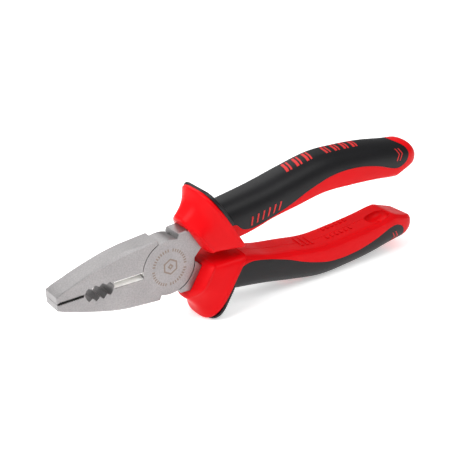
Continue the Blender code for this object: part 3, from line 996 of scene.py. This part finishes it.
def steel_finish():
    """Bead-blasted satin steel with an etched ring on the near boss and a painted highlight on the
    cutter bevels.
    """
    made, tree, shader, vector = new_finish("satin_steel")
    grain = place_group(tree, grain_group(), vector, {
        "Grain Scale": 1700.0, "Patch Scale": 90.0, "Strength": 0.35, "Depth": 0.00004,
    })
    mapping = tree.nodes.new("ShaderNodeMapping")
    mapping.inputs["Location"].default_value = (-PIVOT.x, 0.0, -PIVOT.z)
    tree.links.new(vector, mapping.inputs["Vector"])
    mark = place_group(tree, ring_mark_group(), mapping.outputs["Vector"], {})
    steel = colours().steel
    base = ramp(tree, grain.outputs["Patch"], scaled(steel, 0.93), scaled(steel, 1.06))
    fleck = tree.nodes.new("ShaderNodeMix")
    fleck.data_type = "RGBA"
    fleck.blend_type = "MULTIPLY"
    fleck.inputs["Factor"].default_value = 0.6
    tree.links.new(base, fleck.inputs["A"])
    flecks = ramp(tree, grain.outputs["Grain"], (0.72, 0.72, 0.74), (1.12, 1.12, 1.12))
    tree.links.new(flecks, fleck.inputs["B"])
    mix = tree.nodes.new("ShaderNodeMix")
    mix.data_type = "RGBA"
    mix.inputs["B"].default_value = (*colours().mark, 1.0)
    strength = math_node(tree, "MULTIPLY", mark.outputs["Mask"], 0.75)
    tree.links.new(strength, mix.inputs["Factor"])
    tree.links.new(fleck.outputs["Result"], mix.inputs["A"])
    # Painted highlight: the cutter bevels get a near-white base colour and less metal in place of the
    # light they reflect.
    painted_highlight = place_group(tree, painted_highlight_group(), mapping.outputs["Vector"], {
        "Rear": RELIEF[0] * sizes().jaw_length,
        "Front": RELIEF[1] * sizes().jaw_length,
        "Height": 0.00145,
    })
    painted_highlight_mix = tree.nodes.new("ShaderNodeMix")
    painted_highlight_mix.data_type = "RGBA"
    painted_highlight_mix.inputs["B"].default_value = (0.95, 0.94, 0.92, 1.0)
    tree.links.new(painted_highlight.outputs["Mask"], painted_highlight_mix.inputs["Factor"])
    tree.links.new(mix.outputs["Result"], painted_highlight_mix.inputs["A"])
    tree.links.new(painted_highlight_mix.outputs["Result"], shader.inputs["Base Color"])
    tree.links.new(spread_value(tree, grain.outputs["Grain"], 0.36, 0.46), shader.inputs["Roughness"])
    tree.links.new(grain.outputs["Normal"], shader.inputs["Normal"])
    # Less metal where the highlight is painted, so its near-white colour shows.
    highlight_metal_drop = math_node(tree, "MULTIPLY", painted_highlight.outputs["Mask"], -0.55)
    tree.links.new(math_node(tree, "ADD", highlight_metal_drop, 0.9), shader.inputs["Metallic"])
    return made


def red_finish():
    """Semi-gloss moulded red plastic."""
    made, tree, shader, vector = new_finish("moulded_red")
    grain = place_group(tree, grain_group(), vector, {
        "Grain Scale": 1500.0, "Patch Scale": 45.0, "Strength": 0.12, "Depth": 0.00004,
    })
    red = colours().red
    base = ramp(tree, grain.outputs["Patch"], scaled(red, 0.94), scaled(red, 1.04))
    tree.links.new(base, shader.inputs["Base Color"])
    tree.links.new(spread_value(tree, grain.outputs["Grain"], 0.33, 0.42), shader.inputs["Roughness"])
    tree.links.new(grain.outputs["Normal"], shader.inputs["Normal"])
    shader.inputs["Specular IOR Level"].default_value = 0.09
    return made


def black_finish():
    """Soft satin black elastomer with a fine moulded grain."""
    made, tree, shader, vector = new_finish("soft_black")
    grain = place_group(tree, grain_group(), vector, {
        "Grain Scale": 2200.0, "Patch Scale": 60.0, "Strength": 0.35, "Depth": 0.00005,
    })
    black = colours().black
    base = ramp(tree, grain.outputs["Patch"], scaled(black, 0.85), scaled(black, 1.2))
    tree.links.new(base, shader.inputs["Base Color"])
    tree.links.new(spread_value(tree, grain.outputs["Grain"], 0.42, 0.52), shader.inputs["Roughness"])
    tree.links.new(grain.outputs["Normal"], shader.inputs["Normal"])
    shader.inputs["Specular IOR Level"].default_value = 0.28
    return made


def inlay_finish():
    """Red core plastic showing through the sleeve."""
    made, tree, shader, vector = new_finish("inlaid_red")
    grain = place_group(tree, grain_group(), vector, {
        "Grain Scale": 2000.0, "Patch Scale": 80.0, "Strength": 0.15, "Depth": 0.00004,
    })
    red = colours().inlay
    base = ramp(tree, grain.outputs["Patch"], scaled(red, 0.85), scaled(red, 1.1))
    tree.links.new(base, shader.inputs["Base Color"])
    tree.links.new(spread_value(tree, grain.outputs["Grain"], 0.42, 0.52), shader.inputs["Roughness"])
    tree.links.new(grain.outputs["Normal"], shader.inputs["Normal"])
    shader.inputs["Specular IOR Level"].default_value = 0.2
    return made


def floor_finish():
    """Plain pale floor."""
    made, tree, shader, vector = new_finish("pale_floor")
    shade_of = colours().floor
    grain = place_group(tree, grain_group(), vector, {
        "Grain Scale": 400.0, "Patch Scale": 3.0, "Strength": 0.02, "Depth": 0.00002,
    })
    base = ramp(tree, grain.outputs["Patch"], scaled(shade_of, 0.995), scaled(shade_of, 1.0))
    tree.links.new(base, shader.inputs["Base Color"])
    shader.inputs["Roughness"].default_value = 0.9
    shader.inputs["Specular IOR Level"].default_value = 0.1
    tree.links.new(base, shader.inputs["Emission Color"])
    shader.inputs["Emission Strength"].default_value = 0.5
    return made


def finish(name, maker):
    """Finds a finish, or makes it the first time."""
    return bpy.data.materials.get(name) or maker()


def place(piece, body, node, slot, look):
    """Material, body and CAD node of one finished piece; the slot argument is not used."""
    piece.data.materials.clear()
    piece.data.materials.append(look)
    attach(piece, body)
    if node:
        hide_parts(node)


SIDES = (("upper", 1, "upper_handle"), ("lower", -1, "lower_handle"))


class PLIERS_OT_levers(bpy.types.Operator):
    """Build the two steel levers"""

    bl_idname = "pliers.levers"
    bl_label = "Build Levers"

    def execute(self, context):
        look = finish("satin_steel", steel_finish)
        for where, side, body in SIDES:
            piece = lever(where + "_lever", side)
            place(piece, body, where + "_handle_lever", where + "_lever_steel", look)
        return {"FINISHED"}


class PLIERS_OT_rivet(bpy.types.Operator):
    """Build the flush rivet"""

    bl_idname = "pliers.rivet"
    bl_label = "Build Rivet"

    def execute(self, context):
        s = sizes()
        piece = pin("flush_rivet", s.rivet, -s.head / 2, s.head / 2, 1)
        shade(piece, 30)
        bodies = frame["record"]["behaviour"]["bodies"]
        body = next(name for name, nodes in bodies.items() if "pivot_rivet" in nodes)
        place(piece, body, "pivot_rivet", "rivet_steel", finish("satin_steel", steel_finish))
        return {"FINISHED"}


class PLIERS_OT_cores(bpy.types.Operator):
    """Build the two red grip cores with their guards"""

    bl_idname = "pliers.cores"
    bl_label = "Build Grip Cores"

    def execute(self, context):
        look = finish("moulded_red", red_finish)
        for where, side, body in SIDES:
            piece = core(where + "_core", side)
            place(piece, body, where + "_grip_core", where + "_core_plastic", look)
        return {"FINISHED"}


class PLIERS_OT_sleeves(bpy.types.Operator):
    """Build the two soft black sleeves"""

    bl_idname = "pliers.sleeves"
    bl_label = "Build Sleeves"

    def execute(self, context):
        look = finish("soft_black", black_finish)
        for where, side, body in SIDES:
            piece = sleeve(where + "_sleeve", side)
            place(piece, body, where + "_grip_sleeve", where + "_sleeve_rubber", look)
        return {"FINISHED"}


class PLIERS_OT_inlays(bpy.types.Operator):
    """Build the red bars inlaid in the sleeves"""

    bl_idname = "pliers.inlays"
    bl_label = "Build Inlaid Bars"

    def execute(self, context):
        look = finish("inlaid_red", inlay_finish)
        for where, side, body in SIDES:
            piece = inlaid_bars(where + "_inlaid_bars", side)
            place(piece, body, None, where + "_core_plastic", look)
        return {"FINISHED"}


class PLIERS_OT_raised(bpy.types.Operator):
    """Build the raised bars on the inner faces"""

    bl_idname = "pliers.raised"
    bl_label = "Build Raised Bars"

    def execute(self, context):
        look = finish("moulded_red", red_finish)
        for where, side, body in SIDES:
            piece = raised_bars(where + "_raised_bars", side)
            place(piece, body, None, where + "_core_plastic", look)
        return {"FINISHED"}


class PLIERS_OT_stage(bpy.types.Operator):
    """Build the floor, the lights and the camera"""

    bl_idname = "pliers.stage"
    bl_label = "Build Stage"

    def execute(self, context):
        clear_selection()
        bpy.ops.mesh.primitive_plane_add(size=6.0)
        floor = bpy.context.object
        floor.name = "floor"
        floor.data.materials.append(finish("pale_floor", floor_finish))
        scene = context.scene
        studio = bpy.data.worlds.new("studio")
        studio.use_nodes = True
        back = studio.node_tree.nodes["Background"]
        back.inputs["Color"].default_value = (1.0, 1.0, 1.0, 1.0)
        back.inputs["Strength"].default_value = 0.24
        scene.world = studio
        scene.view_settings.view_transform = "Standard"
        soft_light("key", (-0.60, 0.05, 0.75), (0.0, 0.0, 0.03), 0.8, 10.5)
        soft_light("front", (0.12, -0.47, 0.78), (0.0, 0.0, 0.03), 0.5, 2.8)
        soft_light("back", (0.10, 0.80, 0.70), (0.0, 0.0, 0.03), 0.8, 3.3)
        camera = bpy.data.objects.new("camera", bpy.data.cameras.new("camera"))
        scene.collection.objects.link(camera)
        camera.data.lens = 77.4
        camera.data.clip_end = 20.0
        camera.matrix_world = view_matrix(-34.73, 25.12, -1.32, 0.39334, (0.0300, 0.0, 0.0080))
        scene.camera = camera
        return {"FINISHED"}


def view_matrix(azimuth, elevation, roll, distance, offset):
    """Camera place that looks at a point offset from the pivot."""
    turn = math.radians(azimuth)
    lift = math.radians(elevation)
    out = Vector((math.sin(turn) * math.cos(lift), -math.cos(turn) * math.cos(lift), math.sin(lift)))
    right = Vector((0, 0, 1)).cross(out).normalized()
    up = out.cross(right)
    tilt = math.radians(roll)
    right, up = (
        right * math.cos(tilt) + up * math.sin(tilt),
        up * math.cos(tilt) - right * math.sin(tilt),
    )
    made = Matrix((right, up, out)).transposed().to_4x4()
    made.translation = Vector(offset) + out * distance
    return Matrix.Translation(PIVOT) @ Matrix.Rotation(sizes().tilt, 4, "Y") @ made


def soft_light(name, spot, aim, size, power):
    """Square soft light turned towards a point."""
    data = bpy.data.lights.new(name, "AREA")
    data.size = size
    data.energy = power
    lamp = bpy.data.objects.new(name, data)
    bpy.context.scene.collection.objects.link(lamp)
    lamp.location = spot
    lamp.rotation_euler = (Vector(spot) - Vector(aim)).to_track_quat("Z", "Y").to_euler()


class PLIERS_PT_panel(bpy.types.Panel):
    """Sidebar panel with the sizes, colours and build steps"""

    bl_label = "Lineman Pliers"
    bl_idname = "PLIERS_PT_panel"
    bl_space_type = "VIEW_3D"
    bl_region_type = "UI"
    bl_category = "Pliers"

    def draw(self, context):
        layout = self.layout
        for source in (context.scene.pliers_sizes, context.scene.pliers_colours):
            column = layout.column()
            for label in source.__annotations__:
                column.prop(source, label)
        for step in STEPS:
            layout.operator(step.bl_idname)


STEPS = (
    PLIERS_OT_levers,
    PLIERS_OT_rivet,
    PLIERS_OT_cores,
    PLIERS_OT_sleeves,
    PLIERS_OT_inlays,
    PLIERS_OT_raised,
    PLIERS_OT_stage,
)
CLASSES = (PliersSizes, PliersColours, *STEPS, PLIERS_PT_panel)


def register():
    for made in CLASSES:
        bpy.utils.register_class(made)
    bpy.types.Scene.pliers_sizes = PointerProperty(type=PliersSizes)
    bpy.types.Scene.pliers_colours = PointerProperty(type=PliersColours)


def unregister():
    del bpy.types.Scene.pliers_colours
    del bpy.types.Scene.pliers_sizes
    for made in reversed(CLASSES):
        bpy.utils.unregister_class(made)


def main():
    register()
    bpy.ops.pliers.levers()
    bpy.ops.pliers.rivet()
    bpy.ops.pliers.cores()
    bpy.ops.pliers.sleeves()
    bpy.ops.pliers.inlays()
    bpy.ops.pliers.raised()
    bpy.ops.pliers.stage()


if __name__ == "__main__":
    main()
